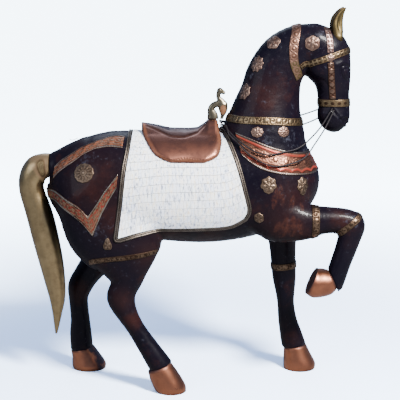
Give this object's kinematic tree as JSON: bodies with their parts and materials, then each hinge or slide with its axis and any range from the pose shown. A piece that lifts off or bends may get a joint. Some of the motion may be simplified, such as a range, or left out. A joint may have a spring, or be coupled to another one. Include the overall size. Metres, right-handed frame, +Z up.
{
  "type": "painted wooden horse",
  "caption": "Standing carved horse with one foreleg raised, dark lacquered wood dressed with embossed metal tack, a pearl-tiled saddlecloth and a metal saddle.",
  "frame": {"origin": "middle of the horse's footprint on the ground, under the middle of its bounding box", "axes": "+X the way the horse faces, +Y its left side, +Z up"},
  "size_m": [0.8092, 0.2358, 0.9],
  "materials": {
    "lacquered_wood": "aged black-brown lacquer with red-brown wear, semi-gloss",
    "brown_copper": "brown patinated copper sheet",
    "pink_copper": "embossed pinkish copper sheet",
    "enamelled_copper": "embossed copper with worn red enamel",
    "aged_brass": "embossed aged brass",
    "tail_brass": "smooth aged brass sheet",
    "grey_trim": "grey-brown tarnished twisted brass wire",
    "mother_of_pearl": "small off-white shell tiles with dark joints",
    "dark_wire": "dark tarnished wire"
  },
  "bodies": {
    "root": {"band_near_hind": "aged_brass", "band_raised_fore": "aged_brass", "band_raised_knee": "aged_brass", "band_standing_fore": "aged_brass", "brow_band": "aged_brass", "cheek_strap_lower_left": "pink_copper", "cheek_strap_lower_right": "pink_copper", "cheek_strap_upper_left": "aged_brass", "cheek_strap_upper_right": "aged_brass", "cloth_trim": "grey_trim", "collar": "enamelled_copper", "croup_wire": "dark_wire", "crown_band": "pink_copper", "crupper_left": "enamelled_copper", "crupper_right": "enamelled_copper", "ear_left": "aged_brass", "ear_right": "aged_brass", "finial": "aged_brass", "haunch_strap": "enamelled_copper", "heart_chest_left": "aged_brass", "heart_chest_right": "aged_brass", "heart_shoulder_left": "aged_brass", "heart_shoulder_right": "aged_brass", "hoof_far_fore": "brown_copper", "hoof_far_hind": "brown_copper", "hoof_near_hind": "brown_copper", "hoof_raised_fore": "brown_copper", "horse_body": "lacquered_wood", "medallion_cheek_left": "pink_copper", "medallion_cheek_right": "pink_copper", "medallion_crest_left": "pink_copper", "medallion_crest_right": "pink_copper", "medallion_crossing_left": "pink_copper", "medallion_crossing_right": "pink_copper", "medallion_elbow_right": "pink_copper", "medallion_mane_left": "pink_copper", "medallion_mane_right": "pink_copper", "medallion_neck_left": "pink_copper", "medallion_neck_right": "pink_copper", "medallion_rump_left": "aged_brass", "medallion_rump_right": "aged_brass", "medallion_thigh_right": "aged_brass", "medallion_throat_front_left": "pink_copper", "medallion_throat_front_right": "pink_copper", "medallion_throat_rear_left": "pink_copper", "medallion_throat_rear_right": "pink_copper", "neck_band": "aged_brass", "noseband": "aged_brass", "rein_left_lower": "dark_wire", "rein_left_upper": "dark_wire", "rein_right_lower": "dark_wire", "rein_right_upper": "dark_wire", "saddle": "brown_copper", "saddlecloth": "mother_of_pearl", "tail": "tail_brass"}
  },
  "joints": []
}
